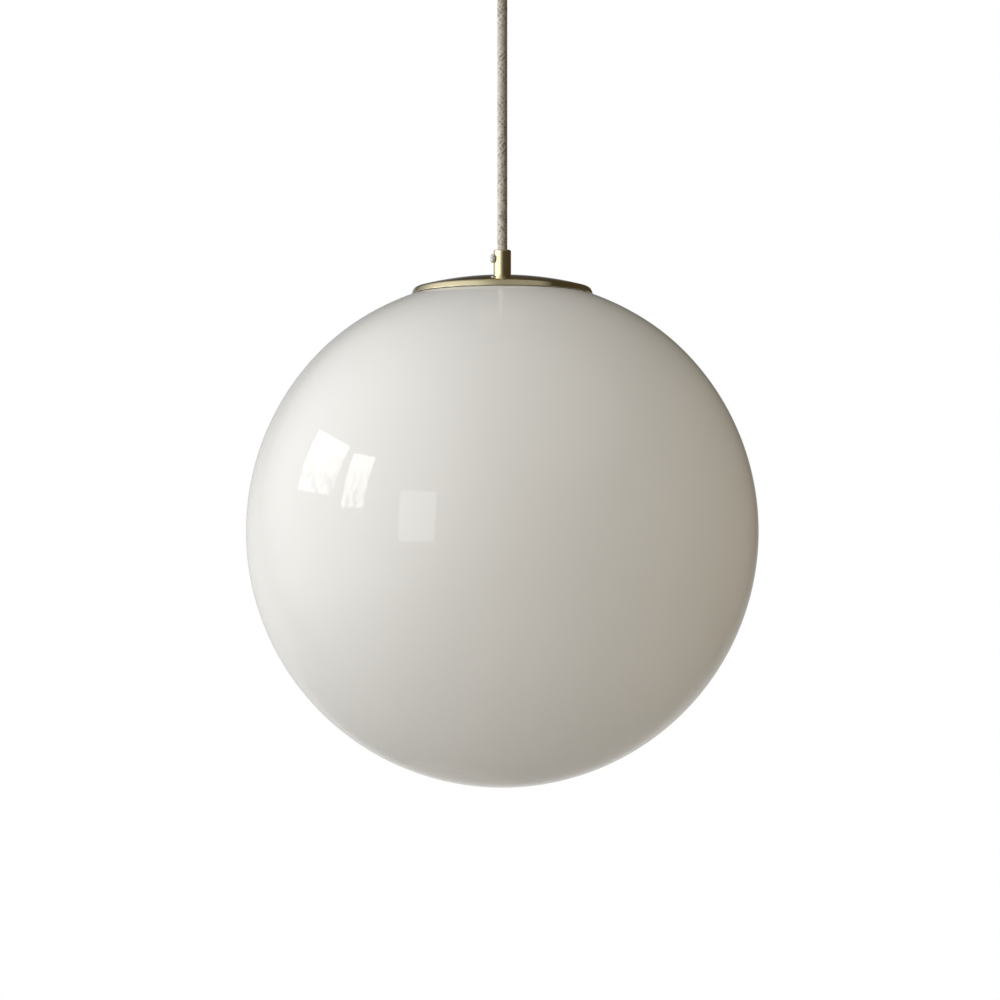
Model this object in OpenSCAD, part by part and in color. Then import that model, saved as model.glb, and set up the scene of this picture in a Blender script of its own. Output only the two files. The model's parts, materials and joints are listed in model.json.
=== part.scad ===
// Pendant ceiling light: an opal glass globe under a shallow brass cap, hung on a textile cord
// from a brass canopy. Millimetres, +Z up, origin on the ceiling plane at the canopy's centre.

/* [Globe] */
// Outer diameter of the glass globe
globe_d = 350; // [290:5:420]
// Thickness of the glass
glass_t = 3.5; // [2.5:0.5:4.5]
// Diameter where the flatter crown round the neck begins
crown_d = 220; // [190:5:260]
// How much larger the crown's radius is than the globe's
crown_extra_r = 8; // [4:1:10]

/* [Cap] */
// Diameter of the cap at its rim
cap_d = 125; // [104:1:150]
// Thickness of the cap's sheet
cap_t = 1.2; // [0.8:0.1:1.6]
// Height of the cap's skirt
cap_skirt_h = 4; // [3:0.5:6]
// How much the skirt's radius shrinks from rim to shoulder
cap_taper = 2; // [1:0.5:3]
// Rise of the dome above the shoulder
cap_rise = 8.4; // [7:0.2:12]
// Radius of the rounded shoulder
cap_shoulder_r = 2.4; // [1.8:0.2:3]
// How far the rim reaches over the glass beyond the neck opening
rim_overlap = 7; // [6:0.5:9]

/* [Cord and grips] */
// Diameter of the textile cord
cord_d = 7; // [6:0.5:8.5]
// Diameter of one insulated wire
wire_d = 2.2; // [1.8:0.1:2.4]
// Diameter of the cord grips
grip_d = 12; // [11.8:0.1:16]
// Height of the cord grips
grip_h = 18; // [17:1:26]
// Depth of the threaded socket in a grip
socket_depth = 8; // [6:0.5:9]
// Height of the clamping screw above the grip's base
grip_screw_h = 12; // [11.5:0.5:14]
// Direction of the clamping screws, anticlockwise from +X seen from above
grip_screw_angle = 198; // [0:1:359]

/* [Canopy] */
// Diameter of the canopy
canopy_d = 100; // [90:1:130]
// Height of the canopy
canopy_h = 30; // [28:1:40]
// Thickness of the canopy's sheet
canopy_t = 1.2; // [0.8:0.1:2]
// Radius of the canopy's rounded lower edge
canopy_edge_r = 5; // [3:0.5:7]
// Distance between the ceiling screws
slot_pitch = 64; // [58:1:70]
// End-to-end length of each screw slot
slot_l = 14; // [10:1:15]
// Width of each screw slot
slot_w = 5; // [4:0.5:6]

/* [Globe holder] */
// Distance of the arm pivots from the axis
pivot_r = 18; // [16:0.5:20]
// How far the arm tips reach under the glass beyond the neck opening
tip_reach = 4.5; // [3:0.5:6]
// Width of an arm
arm_w = 10; // [8:0.5:11]
// Thickness of an arm
arm_t = 1.2; // [0.8:0.1:1.6]
// Radius of the silicone sleeves on the arm tips
sleeve_r = 2.5; // [2:0.1:3]

/* [Lampholder and lamp] */
// Wall of the lampholder's cap and barrel
holder_wall = 1.8; // [1.2:0.1:2.4]
// Wall of the insulator's skirt round the screw shell
insulator_wall = 2.5; // [1.5:0.5:3.5]
// Diameter of the lamp's screw base
base_d = 26.5; // [16:0.5:34]
// Diameter of the lamp's bulb
bulb_d = 60; // [50:1:70]
// Overall length of the lamp
bulb_l = 108; // [95:1:125]

/* [Hidden] */
$fn = 96;

// clearances
turn_gap = 0.3;    // between a moving cord end and the face above it
twist_gap = 0.2;   // between the cord's lower end and the lamp
thread_gap = 0.05; // radial, between a thread and its nut
pin_gap = 0.05;    // radial, between a pin and the eye that turns on it
seat_gap = 0.3;    // between glass and cap, and glass and arm sleeves
loose_gap = 0.2;   // between pieces that only lie beside each other

// threaded tube, nuts and washers, M10 x 1
tube_r = 5;
nut_across = 14;
nut_h = 3;
washer_r = 10;
washer_t = 1;

// screws
clamp_screw_r = 2;
clamp_head_r = 3;
clamp_head_t = 1.7;
thumb_head_r = 4;
thumb_head_t = 3.5;
screw_slot = 0.8;

globe_r = globe_d / 2;
cap_r = cap_d / 2;
cord_r = cord_d / 2;
wire_r = wire_d / 2;
grip_r = grip_d / 2;
canopy_r = canopy_d / 2;
cord_bore_r = cord_r + loose_gap;
tube_bore_r = cord_r + 0.25;
thread_bore_r = tube_r + thread_gap;

// The free cord's route, down from the mouth of the canopy's grip
cord_route = [
    [0, 0, 0], [0, 0, -12], [0, 0, -24], [0, 0, -36], [0, 0, -48], [0, 0, -60], [0, 0, -72], [0, 0, -84],
    [0, 0, -96], [0, 0, -108], [0, 0, -120], [0, 0, -132], [0, 0, -144], [0, 0, -156], [0, 0, -168],
    [0, 0, -180]
];
route_last = len(cord_route) - 1;
link_last = 2; // the route's point where the cord's upper link ends
cord_top_z = -(canopy_h + grip_h);
cord_sides = 12;
wire_sides = 8;

// glass, in the lamp's own frame with the globe's centre at zero
crown_r = globe_r + crown_extra_r;
crown_z = sqrt(pow(globe_r, 2) - pow(crown_d / 2, 2)) - sqrt(pow(crown_r, 2) - pow(crown_d / 2, 2));
neck_r = cap_r - rim_overlap;
function crown_height(r, inset) = crown_z + sqrt(pow(crown_r - inset, 2) - r * r);

// cap
rim_z = crown_height(cap_r - cap_t, 0) + seat_gap;
shoulder_z = rim_z + cap_skirt_h;
shoulder_r = cap_r - cap_taper;
apex_z = shoulder_z + cap_rise;
dome_r = (pow(shoulder_r, 2) + pow(cap_rise, 2)) / (2 * cap_rise);
dome_z = apex_z - dome_r;
function dome_height(r, inset) = dome_z + sqrt(pow(dome_r - inset, 2) - r * r);

// the stack on the threaded tube, from the cap down
tube_top_z = apex_z + socket_depth - 0.5;
washer_top_z = dome_height(washer_r, cap_t) - 0.05;
cap_nut_z = washer_top_z - washer_t - nut_h;
hub_t = 2;
hub_r = pivot_r + 4;
hub_z = cap_nut_z - hub_t;
hub_nut_z = hub_z - nut_h;
holder_z = hub_nut_z - 1;

// arms
tip_r = neck_r + tip_reach;
tip_half_w = arm_w / 2 + 1;
pivot_z = crown_z + sqrt(pow(crown_r - glass_t - sleeve_r - seat_gap, 2) - pow(tip_r, 2) - pow(tip_half_w, 2));
arm_angles = [90, 210, 330];
pin_r = 1.5;
eye_r = 3.2;
eye_from = -0.9;
eye_to = 5.7;
ear_in = 6.15;
ear_t = 1.5;
ear_r = 4;
spring_wire_r = 0.4;
spring_r = 2.6;
spring_turns = 5;
spring_from = -5.4;
tongue_l = 6;

// lampholder, measured down from its top
neck_h = 14;
cone_h = 10;
holder_cap_h = 32;
holder_h = 64;
holder_neck_r = 8;
insulator_top = 29;
insulator_bottom = 35;
terminal_h = 4;
lamp_wire_angles = [30, 150, 270];
bundle_r = 1.6;
base_r = base_d / 2;
shell_in_r = base_r + loose_gap;
shell_t = 0.5;
shell_h = 22;
skirt_in_r = shell_in_r + shell_t + 0.15;
skirt_clear = 1.6;
holder_in_r = skirt_in_r + insulator_wall + skirt_clear;
holder_r = holder_in_r + holder_wall;
terminal_r = holder_in_r - 7.2;
contact_t = 1.4;
contact_z = holder_z - insulator_bottom - contact_t;

// lamp, measured down from its contact tip
tip_z = contact_z - turn_gap;
tip_t = 1;
glass_bead_h = 2.3;
base_h = 23;
base_sheet = 0.4;
collar_z = tip_z - tip_t - glass_bead_h - base_h;
collar_top_r = base_r + 0.75;
collar_wall = 1.4;
bulb_r = bulb_d / 2;
bulb_z = tip_z - bulb_l + bulb_r;
bulb_wall = 1;
join_z = bulb_z + bulb_r * 0.62;
join_r = sqrt(pow(bulb_r, 2) - pow(join_z - bulb_z, 2));

// where the lamp hangs
grip_mouth_z = cord_top_z + cord_route[route_last][2];
globe_z = grip_mouth_z - grip_h - apex_z;

// swing pivots on the cord
swing_1_z = cord_top_z - turn_gap - cord_r;
swing_2_z = cord_top_z + cord_route[link_last][2] - turn_gap - cord_r;

// ceiling bracket
strip_w = 20;
strip_t = 1.5;
strip_end = sqrt(pow(canopy_r - canopy_t - turn_gap, 2) - pow(strip_w / 2, 2));
ear_drop = 14;
side_screw_z = -7.5;
earth_x = 20;

// terminal block
block = [32, 18, 14];
pole_pitch = 10.5;
pole_z = -strip_t - 8;
block_bottom = -strip_t - block[2];
block_screw_x = pole_pitch / 2;
tail_top_z = block_bottom - 5.5;

// ---------- shapes that repeat ----------

function unit(v) = v / norm(v);

// Points of the arc that rounds the corner p between a and b
function fillet(p, a, b, r, steps = 6) =
    let (
        u = unit(a - p),
        v = unit(b - p),
        half = acos(u * v) / 2,
        centre = p + unit(u + v) * r / sin(half),
        s = p + u * r / tan(half) - centre,
        e = p + v * r / tan(half) - centre,
        from = atan2(s[1], s[0]),
        turn = atan2(s[0] * e[1] - s[1] * e[0], s * e)
    )
    [for (i = [0:steps]) centre + r * [cos(from + turn * i / steps), sin(from + turn * i / steps)]];

// Points of a cubic curve, without its first one
function curve(p, steps) = [
    for (i = [1:steps])
        let (t = i / steps, s = 1 - t)
        p[0] * s * s * s + p[1] * 3 * s * s * t + p[2] * 3 * s * t * t + p[3] * t * t * t
];

function along(points, i) = unit(points[min(i + 1, len(points) - 1)] - points[max(i - 1, 0)]);

// One ring of a swept tube, square to its path; ref lies off the path's direction
function ring(p, t, ref, r, sides) =
    let (u = unit(cross(t, ref)), v = cross(u, t))
    [for (i = [0:sides - 1]) p + r * (u * cos(360 * i / sides) + v * sin(360 * i / sides))];

module sweep(points, radii, sides, ref) {
    last = len(points) - 1;
    vertices = [for (i = [0:last]) each ring(points[i], along(points, i), ref, radii[i], sides)];
    walls = [
        for (i = [0:last - 1], k = [0:sides - 1])
            let (n = (k + 1) % sides)
            [i * sides + k, (i + 1) * sides + k, (i + 1) * sides + n, i * sides + n]
    ];
    start_face = [for (k = [0:sides - 1]) k];
    end_face = [for (k = [sides - 1:-1:0]) last * sides + k];
    polyhedron(vertices, concat([start_face], walls, [end_face]));
}

module tube_of(points, r, sides, ref) sweep(points, [for (p = points) r], sides, ref);

// A cord that hangs from its pivot: a rounded top, the route's points from first to last, and its end
module hanging_cord(pivot_z, first, last, end_z) {
    steps = [80, 55, 30];
    top = [for (a = steps) [0, 0, pivot_z + cord_r * sin(a)]];
    between = [for (i = [first:last]) [0, 0, cord_top_z] + cord_route[i]];
    radii = concat([for (a = steps) cord_r * cos(a)], cord_r, [for (p = between) cord_r], cord_r);
    sweep(concat(top, [[0, 0, pivot_z]], between, [[0, 0, end_z]]), radii, cord_sides, [1, 0, 0]);
}

module pipe(r_out, r_in, h) {
    difference() {
        cylinder(r = r_out, h = h);
        translate([0, 0, -1]) cylinder(r = r_in, h = h + 2);
    }
}

module hex_nut() {
    difference() {
        cylinder(r = nut_across / 2 / cos(30), h = nut_h, $fn = 6);
        translate([0, 0, -1]) cylinder(r = thread_bore_r, h = nut_h + 2);
    }
}

// A cord grip, its threaded base at zero and its mouth up
module grip() {
    edge = fillet([grip_r, grip_h], [grip_r, 0], [0, grip_h], 1, 4);
    difference() {
        rotate_extrude() polygon(concat([[0, 0], [grip_r, 0]], edge, [[0, grip_h]]));
        translate([0, 0, -1]) cylinder(r = thread_bore_r, h = socket_depth + 1);
        cylinder(r = cord_bore_r, h = grip_h + 1);
        translate([0, 0, grip_screw_h]) rotate([0, 90, grip_screw_angle])
            cylinder(r = clamp_screw_r + thread_gap, h = grip_r + 1);
    }
}

// The clamping screw of a grip, which presses on the cord
module clamp_screw() {
    head_from = grip_r + loose_gap;
    rotate([0, 90, grip_screw_angle]) difference() {
        union() {
            translate([0, 0, cord_r + thread_gap])
                cylinder(r = clamp_screw_r, h = head_from - cord_r);
            translate([0, 0, head_from]) cylinder(r = clamp_head_r, h = clamp_head_t);
        }
        translate([-clamp_head_r, -screw_slot / 2, head_from + clamp_head_t - screw_slot])
            cube([2 * clamp_head_r, screw_slot, 1]);
    }
}

// A knurled screw through the canopy's wall, pointing out along +X
module side_screw() {
    head_from = canopy_r + loose_gap;
    difference() {
        union() {
            translate([strip_end - strip_t - 2, 0, side_screw_z]) rotate([0, 90, 0])
                cylinder(r = clamp_screw_r, h = head_from - strip_end + strip_t + 2);
            translate([head_from, 0, side_screw_z]) rotate([0, 90, 0])
                cylinder(r = thumb_head_r, h = thumb_head_t);
        }
        translate([head_from + thumb_head_t - 1, -thumb_head_r, side_screw_z - screw_slot / 2])
            cube([2, 2 * thumb_head_r, screw_slot]);
        for (a = [0:20:340])
            translate([head_from - 1, 0, side_screw_z]) rotate([a, 0, 0])
                translate([0, thumb_head_r, 0]) rotate([0, 90, 0]) cylinder(r = 0.25, h = thumb_head_t + 2);
    }
}

module in_lamp() translate([0, 0, globe_z]) children();

module at_arm(index) in_lamp() rotate([0, 0, arm_angles[index]]) children();

// Puts +Z along an arm's pin, at the pivot
module at_pin(index) at_arm(index) translate([pivot_r, 0, pivot_z]) rotate([-90, 0, 0]) children();

// ---------- ceiling side ----------

module screw_slot_hole(x) {
    straight = slot_l - slot_w;
    translate([x - straight / 2, -slot_w / 2, -strip_t - 1]) cube([straight, slot_w, strip_t + 2]);
    for (side = [-1, 1])
        translate([x + side * straight / 2, 0, -strip_t - 1]) cylinder(d = slot_w, h = strip_t + 2);
}

module ceiling_bracket() {
    color("silver") difference() {
        union() {
            translate([-strip_end, -strip_w / 2, -strip_t]) cube([2 * strip_end, strip_w, strip_t]);
            for (side = [0, 180])
                rotate([0, 0, side]) translate([strip_end - strip_t, -8, -ear_drop])
                    cube([strip_t, 16, ear_drop]);
        }
        for (side = [-1, 1]) screw_slot_hole(side * slot_pitch / 2);
        translate([-canopy_r, 0, side_screw_z]) rotate([0, 90, 0])
            cylinder(r = clamp_screw_r + thread_gap, h = canopy_d);
        translate([earth_x, 0, -strip_t - 1]) cylinder(r = 2 + thread_gap, h = strip_t + 2);
        translate([block_screw_x, 0, -strip_t - 1]) cylinder(r = 1.5 + thread_gap, h = strip_t + 2);
    }
}

module earth_screw() {
    color("gold") difference() {
        translate([earth_x, 0, 0]) union() {
            translate([0, 0, -strip_t - 3]) cylinder(r = 2, h = 3 + strip_t - loose_gap);
            translate([0, 0, -strip_t - 3]) cylinder(r = 3.2, h = 2.8);
        }
        translate([earth_x - 4, -screw_slot / 2, -strip_t - 4]) cube([8, screw_slot, 2]);
    }
}

module terminal_block() {
    color("white") difference() {
        translate([-block[0] / 2, -block[1] / 2, block_bottom]) cube([block[0], block[1], block[2] - 0.05]);
        for (x = [-pole_pitch, 0, pole_pitch]) {
            translate([x, -block[1], pole_z]) rotate([-90, 0, 0]) cylinder(r = 1.6, h = 2 * block[1]);
            for (y = [-5.5, 5.5]) translate([x, y, block_bottom - 1]) cylinder(r = 1.9, h = pole_z - block_bottom + 1);
        }
        translate([block_screw_x, 0, block_bottom - 1]) cylinder(r = 1.7, h = block[2] + 2);
        translate([block_screw_x, 0, block_bottom - 1]) cylinder(r = 2.9, h = 3.5);
    }
}

module terminal_screws() {
    color("silver") for (x = [-pole_pitch, 0, pole_pitch], y = [-5.5, 5.5])
        translate([x, y, block_bottom + 0.5]) difference() {
            cylinder(r = 1.7, h = pole_z - 1.7 - block_bottom - 0.5);
            translate([-2, -0.3, -1]) cube([4, 0.6, 1.6]);
        }
}

module block_screw() {
    color("silver") translate([block_screw_x, 0, block_bottom + 0.3]) difference() {
        union() {
            cylinder(r = 2.6, h = 2);
            cylinder(r = 1.5, h = -block_bottom - 0.6);
        }
        translate([-3, -screw_slot / 2, -1]) cube([6, screw_slot, 2]);
    }
}

module canopy() {
    corner_out = [canopy_r, -canopy_h];
    corner_in = [canopy_r - canopy_t, -canopy_h + canopy_t];
    color("#d9c07a") difference() {
        rotate_extrude() polygon(concat(
            [[canopy_r, 0]],
            fillet(corner_out, [canopy_r, 0], [0, -canopy_h], canopy_edge_r),
            [[0, -canopy_h], [0, -canopy_h + canopy_t]],
            fillet(corner_in, [0, corner_in[1]], [corner_in[0], 0], canopy_edge_r - canopy_t),
            [[corner_in[0], 0]]
        ));
        translate([0, 0, -canopy_h - 1]) cylinder(r = tube_r + loose_gap, h = canopy_t + 2);
        translate([-canopy_d, 0, side_screw_z]) rotate([0, 90, 0])
            cylinder(r = clamp_screw_r + loose_gap, h = 2 * canopy_d);
    }
}

module canopy_screw_left() {
    color("#d9c07a") rotate([0, 0, 180]) side_screw();
}

module canopy_screw_right() {
    color("#d9c07a") side_screw();
}

module canopy_washer() {
    color("silver") translate([0, 0, -canopy_h + canopy_t]) pipe(washer_r, tube_r + loose_gap, washer_t);
}

module canopy_nut() {
    color("#c9ad5e") translate([0, 0, -canopy_h + canopy_t + washer_t]) hex_nut();
}

module canopy_nipple() {
    nipple_from = -canopy_h - socket_depth + 0.5;
    color("silver") translate([0, 0, nipple_from])
        pipe(tube_r, tube_bore_r, -canopy_h + canopy_t + washer_t + nut_h + 1.8 - nipple_from);
}

module canopy_grip() {
    color("#d9c07a") translate([0, 0, -canopy_h]) mirror([0, 0, 1]) grip();
}

module canopy_grip_screw() {
    color("whitesmoke") translate([0, 0, -canopy_h - grip_screw_h]) clamp_screw();
}

module cord_tail() {
    color("#beb49f") translate([0, 0, cord_top_z]) cylinder(r = cord_r, h = tail_top_z - cord_top_z);
}

// A wire that leaves the cord's sheath at start, dips under the block and enters the pole at x
module feed_wire(start, x) {
    side = x / pole_pitch;
    bend = [side * 9.5, -13.5, tail_top_z + 4.5];
    from = [start[0], start[1], tail_top_z];
    straight = from + [0, 0, 0.5];
    points = concat(
        [from, straight],
        curve([straight, from + [0, 0, 3.4], [side * 5, -8, tail_top_z + 3.2], bend], 8),
        curve([bend, [side * 11, -17, tail_top_z + 5.8], [x, -15, pole_z], [x, -5, pole_z]], 8)
    );
    tube_of(points, wire_r, wire_sides, [1, 0, 0]);
}

module feed_wire_live() {
    color("saddlebrown") feed_wire([-1.4, 0.8], -pole_pitch);
}

module feed_wire_neutral() {
    color("royalblue") feed_wire([0, -1.6], 0);
}

module feed_wire_earth() {
    color("limegreen") feed_wire([1.4, 0.8], pole_pitch);
}

// ---------- free cord ----------

module cord_upper() {
    color("#beb49f") hanging_cord(swing_1_z, 1, link_last - 1, cord_top_z + cord_route[link_last][2]);
}

module cord_lower() {
    color("#beb49f") hanging_cord(swing_2_z, link_last + 1, route_last - 1, grip_mouth_z + twist_gap);
}

// ---------- cap and its fixings ----------

module cord_grip() {
    color("#d9c07a") in_lamp() translate([0, 0, apex_z]) grip();
}

module cord_grip_screw() {
    color("whitesmoke") in_lamp() translate([0, 0, apex_z + grip_screw_h]) clamp_screw();
}

module cord_end() {
    color("#beb49f") in_lamp() translate([0, 0, tube_top_z + loose_gap])
        cylinder(r = cord_r, h = apex_z + grip_h - tube_top_z - loose_gap);
}

module threaded_tube() {
    tube_end_z = holder_z - neck_h + 4;
    color("silver") in_lamp() translate([0, 0, tube_end_z]) pipe(tube_r, tube_bore_r, tube_top_z - tube_end_z);
}

// Points of the dome's section from radius r to the axis
function dome_arc(r, inset) = [for (i = [0:12]) let (x = r * (1 - i / 12)) [x, dome_height(x, inset)]];

module cap() {
    beside = shoulder_r - 8;
    corner = [shoulder_r, shoulder_z];
    inner = [shoulder_r - cap_t, dome_height(shoulder_r - cap_t, cap_t)];
    outside = fillet(corner, [cap_r, rim_z], [beside, dome_height(beside, 0)], cap_shoulder_r);
    inside = fillet(inner, [cap_r - cap_t, rim_z], [beside, dome_height(beside, cap_t)], cap_shoulder_r - cap_t);
    color("#d9c07a") in_lamp() difference() {
        rotate_extrude() polygon(concat(
            [[cap_r, rim_z]], outside, dome_arc(beside, 0),
            [for (i = [12:-1:0]) dome_arc(beside, cap_t)[i]],
            [for (i = [6:-1:0]) inside[i]], [[cap_r - cap_t, rim_z]]
        ));
        translate([0, 0, apex_z - 5]) cylinder(r = tube_r + loose_gap, h = 10);
    }
}

module cap_washer() {
    color("silver") in_lamp() translate([0, 0, washer_top_z - washer_t])
        pipe(washer_r, tube_r + loose_gap, washer_t);
}

module cap_nut() {
    color("#c9ad5e") in_lamp() translate([0, 0, cap_nut_z]) hex_nut();
}

module glass_gasket() {
    low = crown_height(neck_r + 0.5, 0) + 0.1;
    high = dome_height(neck_r + 2.5, cap_t) - 0.1;
    color("white") in_lamp() translate([0, 0, low]) pipe(neck_r + 2.5, neck_r + 0.5, high - low);
}

// ---------- globe holder ----------

module ear(side) {
    translate([0, 0, side * (ear_in + ear_t / 2) - ear_t / 2]) {
        cylinder(r = ear_r, h = ear_t);
        translate([-0.9 * ear_r, -(hub_z + 0.5 - pivot_z), 0])
            cube([1.8 * ear_r, hub_z + 0.5 - pivot_z, ear_t]);
    }
}

module holder_hub() {
    color("silver") difference() {
        union() {
            in_lamp() translate([0, 0, hub_z]) cylinder(r = hub_r, h = hub_t - 0.02);
            for (i = [0:2]) at_pin(i) for (side = [-1, 1]) ear(side);
        }
        in_lamp() translate([0, 0, hub_z - 1]) cylinder(r = thread_bore_r, h = hub_t + 2);
        for (i = [0:2]) at_pin(i) translate([0, 0, -10]) cylinder(r = pin_r + 0.02, h = 20);
    }
}

module hub_nut() {
    color("#c9ad5e") in_lamp() translate([0, 0, hub_nut_z - 0.02]) hex_nut();
}

module arm_pins() {
    half = ear_in + ear_t + 0.1;
    color("silver") for (i = [0:2]) at_pin(i) {
        translate([0, 0, -half]) cylinder(r = pin_r, h = 2 * half);
        translate([0, 0, half]) cylinder(r = pin_r + 0.9, h = 0.8);
        translate([0, 0, -half - 0.8]) cylinder(r = pin_r + 0.9, h = 0.8);
    }
}

// A close-wound spring round each pin, drawn as its outer shape, with one leg up against the hub
module arm_springs() {
    color("silver") for (i = [0:2]) {
        at_pin(i) translate([0, 0, spring_from])
            pipe(spring_r + spring_wire_r, spring_r - spring_wire_r, spring_turns * 2 * spring_wire_r);
        at_arm(i) translate([pivot_r - spring_r, spring_from + 2 * spring_wire_r, pivot_z])
            cylinder(r = 0.9 * spring_wire_r, h = hub_z - pivot_z - 0.05);
    }
}

module arm(index) {
    color("silver") difference() {
        union() {
            at_pin(index) translate([0, 0, eye_from]) cylinder(r = eye_r, h = eye_to - eye_from);
            at_arm(index) translate([pivot_r, eye_from, pivot_z - arm_t / 2])
                cube([tongue_l + 1, eye_to - 0.7 - eye_from, arm_t]);
            at_arm(index) translate([pivot_r + tongue_l, -arm_w / 2, pivot_z - arm_t / 2])
                cube([tip_r + 1 - pivot_r - tongue_l, arm_w, arm_t]);
        }
        at_pin(index) translate([0, 0, -10]) cylinder(r = pin_r + pin_gap, h = 20);
    }
}

module arm_1() { arm(0); }
module arm_2() { arm(1); }
module arm_3() { arm(2); }

module arm_sleeve(index) {
    slack = 0.05;
    color("white") at_arm(index) difference() {
        translate([tip_r, -tip_half_w, pivot_z]) rotate([-90, 0, 0]) cylinder(r = sleeve_r, h = 2 * tip_half_w);
        translate([tip_r - 2 * sleeve_r, -arm_w / 2 - slack, pivot_z - arm_t / 2 - slack])
            cube([2 * sleeve_r + 1 + slack, arm_w + 2 * slack, arm_t + 2 * slack]);
    }
}

module arm_sleeve_1() { arm_sleeve(0); }
module arm_sleeve_2() { arm_sleeve(1); }
module arm_sleeve_3() { arm_sleeve(2); }

// ---------- lampholder ----------

module in_holder() in_lamp() translate([0, 0, holder_z]) children();

module lampholder_cap() {
    color("black") in_holder() difference() {
        rotate_extrude() polygon([
            [0, 0], [holder_neck_r, 0], [holder_neck_r, -neck_h], [holder_r, -neck_h - cone_h],
            [holder_r, -holder_cap_h], [holder_in_r, -holder_cap_h],
            [holder_in_r, -neck_h - cone_h - holder_wall / 2],
            [holder_neck_r - 1, -neck_h - holder_wall], [0, -neck_h - holder_wall]
        ]);
        translate([0, 0, -neck_h - holder_wall - 1]) cylinder(r = thread_bore_r, h = neck_h + 10);
    }
}

module lampholder_barrel() {
    lip_r = collar_top_r + 1.6;
    color("black") in_holder() rotate_extrude() polygon([
        [holder_r, -holder_cap_h - 0.1], [holder_r, -holder_h], [lip_r, -holder_h], [lip_r, -holder_h + 2],
        [holder_in_r, -holder_h + 3], [holder_in_r, -holder_cap_h - 0.1]
    ]);
}

module lampholder_insulator() {
    disc_r = holder_in_r - loose_gap;
    color("ivory") in_holder() {
        translate([0, 0, -insulator_bottom]) cylinder(r = disc_r, h = insulator_bottom - insulator_top);
        translate([0, 0, -insulator_bottom - shell_h])
            pipe(skirt_in_r + insulator_wall, skirt_in_r, shell_h + 0.5);
    }
}

module lampholder_terminals() {
    color("gold") in_holder() for (a = lamp_wire_angles) rotate([0, 0, a])
        translate([terminal_r, 0, -insulator_top]) cylinder(r = 2.2, h = terminal_h);
}

module socket_shell() {
    color("gold") in_holder() translate([0, 0, -insulator_bottom - shell_h + 0.2])
        pipe(shell_in_r + shell_t, shell_in_r, shell_h - 0.4);
}

module centre_contact() {
    color("gold") in_lamp() translate([0, 0, contact_z]) cylinder(r = 3.5, h = contact_t);
}

// A wire that runs down the tube and fans out to its terminal
module lamp_wire(angle) {
    from_z = tube_top_z - 0.5;
    turn_z = holder_z - neck_h + 1;
    end_z = holder_z - insulator_top + terminal_h + 0.1;
    turn = [bundle_r, 0, turn_z];
    path = concat(
        [[bundle_r, 0, from_z], [bundle_r, 0, (from_z + turn_z) / 2], turn],
        curve([turn, [bundle_r, 0, turn_z - 6], [terminal_r, 0, end_z + 5], [terminal_r, 0, end_z + 0.6]], 8),
        [[terminal_r, 0, end_z]]
    );
    in_lamp() rotate([0, 0, angle]) tube_of(path, wire_r, wire_sides, [0, 1, 0]);
}

module lamp_wire_live() {
    color("saddlebrown") lamp_wire(lamp_wire_angles[0]);
}

module lamp_wire_neutral() {
    color("royalblue") lamp_wire(lamp_wire_angles[1]);
}

module lamp_wire_earth() {
    color("limegreen") lamp_wire(lamp_wire_angles[2]);
}

// ---------- screw-base lamp ----------

module bulb_tip() {
    color("silver") in_lamp() translate([0, 0, tip_z - tip_t]) cylinder(r = 4.5, h = tip_t);
}

module bulb_bead() {
    bead_z = tip_z - tip_t - glass_bead_h;
    color("black") in_lamp() translate([0, 0, bead_z])
        cylinder(r1 = base_r - 1.2, r2 = 5.5, h = glass_bead_h);
}

module bulb_base() {
    color("silver") in_lamp() translate([0, 0, collar_z]) difference() {
        cylinder(r = base_r, h = base_h);
        translate([0, 0, -1]) cylinder(r = base_r - base_sheet, h = base_h + 1 - base_sheet);
    }
}

module bulb_collar() {
    color("white") in_lamp() rotate_extrude() polygon([
        [base_r - base_sheet - 0.2, collar_z], [collar_top_r, collar_z - 0.1], [join_r, join_z],
        [join_r - collar_wall, join_z], [collar_top_r - collar_wall - 1, collar_z - 1],
        [collar_top_r - collar_wall - 1, collar_z]
    ]);
}

module bulb_led_board() {
    color("lightyellow") in_lamp() translate([0, 0, join_z + 0.5]) cylinder(r = join_r - collar_wall - 1, h = 1.6);
}

module bulb_driver_board() {
    board_h = collar_z - join_z - 4;
    color("green") in_lamp() translate([-7, -0.8, join_z + 2.6]) cube([14, 1.6, board_h]);
}

module bulb_diffuser() {
    color("white") in_lamp() difference() {
        translate([0, 0, bulb_z]) sphere(r = bulb_r);
        translate([0, 0, bulb_z]) sphere(r = bulb_r - bulb_wall);
        translate([-bulb_d, -bulb_d, join_z - 0.05]) cube(2 * bulb_d);
    }
}

// ---------- glass ----------

// Section of the globe without its neck: a circle flattened above by a larger one
module globe_section(inset) {
    intersection() {
        circle(r = globe_r - inset, $fn = 180);
        translate([0, crown_z]) circle(r = crown_r - inset, $fn = 180);
    }
}

module globe() {
    color("whitesmoke") in_lamp() rotate_extrude() difference() {
        globe_section(0);
        globe_section(glass_t);
        translate([0, 0]) square([neck_r, globe_r + 1]);
        translate([-globe_r - 1, -globe_r - 1]) square([globe_r + 1, globe_d + 2]);
    }
}

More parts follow.
